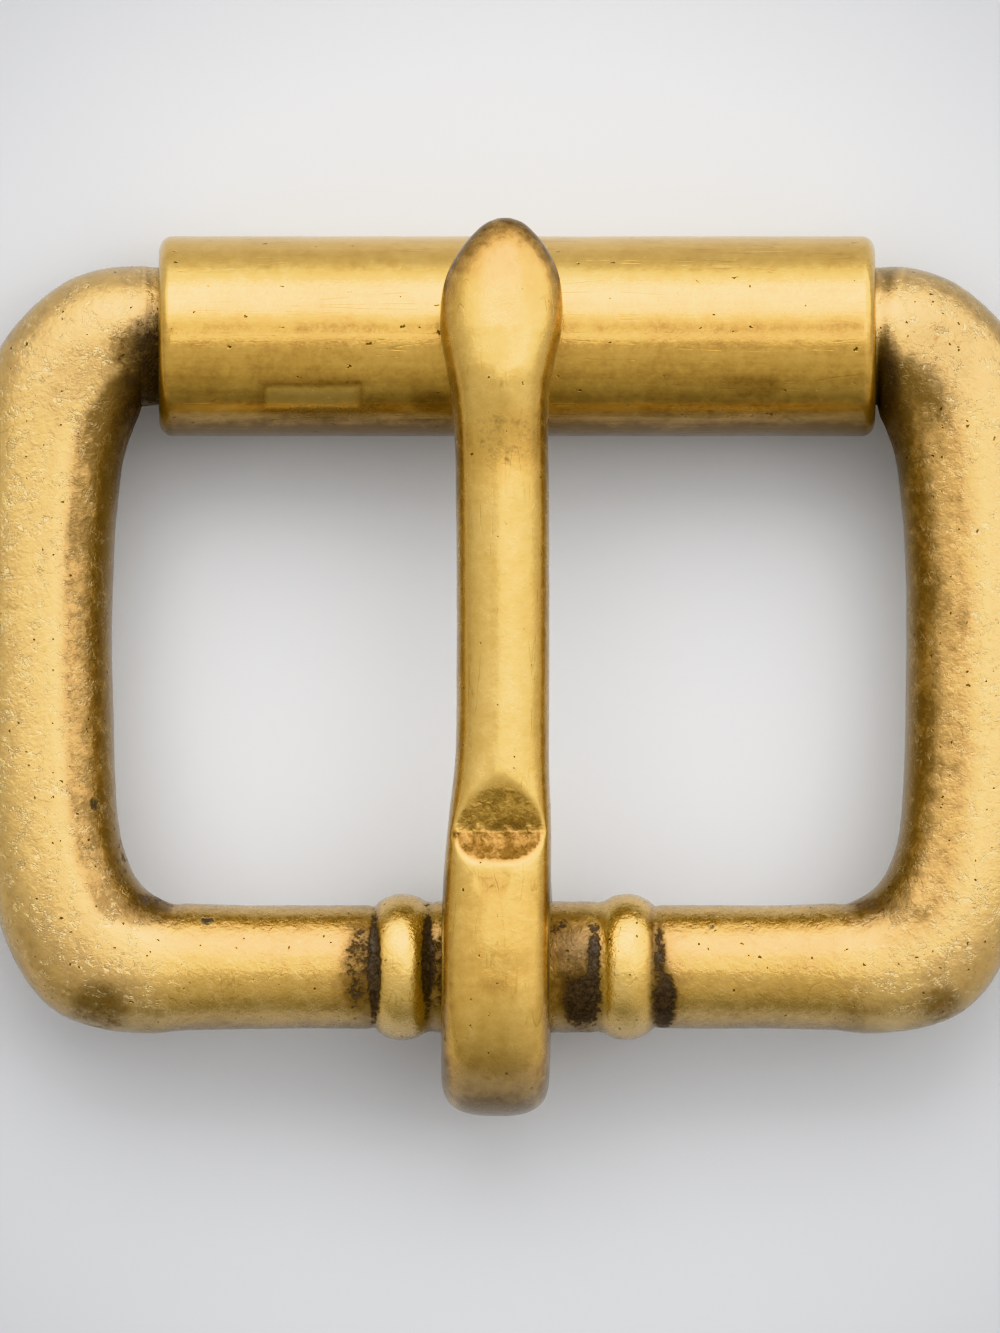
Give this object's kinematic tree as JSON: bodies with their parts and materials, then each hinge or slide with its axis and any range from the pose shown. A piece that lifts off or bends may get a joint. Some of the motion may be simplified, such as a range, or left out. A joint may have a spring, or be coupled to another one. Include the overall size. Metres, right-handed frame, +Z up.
{
  "type": "roller buckle",
  "caption": "Solid cast brass belt buckle with a rolling front bar and a swinging prong hooked on a beaded heel bar, lying face up, for a wide leather strap.",
  "frame": {"origin": "middle of the bounding box of the buckle in X and Y, at the level of the surface that it lies on", "axes": "+X along the heel bar and the roller to the right, +Y from the heel bar to the roller, +Z up from the surface"},
  "size_m": [0.0536, 0.0448, 0.0149],
  "materials": {
    "frame_brass": "antiqued cast brass, softly worn, pitted, with dark tarnish beside the beads and the roller",
    "roller_brass": "turned tube, satin worn, with fine streaks along it",
    "prong_brass": "cast and polished by wear, with fine specks"
  },
  "bodies": {
    "frame": {"frame": "frame_brass"},
    "roller": {"roller": "roller_brass"},
    "prong": {"prong": "prong_brass"}
  },
  "joints": [
    {"name": "roller_spin", "type": "hinge", "parent": "frame", "child": "roller", "pos_m": [0.00038, 0.01661, 0.00502], "axis": [1, 0, 0], "continuous": true},
    {"name": "prong_swing", "type": "hinge", "parent": "frame", "child": "prong", "pos_m": [-0.0007, -0.01496, 0.0065], "axis": [1, 0, 0], "range_deg": [0, 332]}
  ]
}
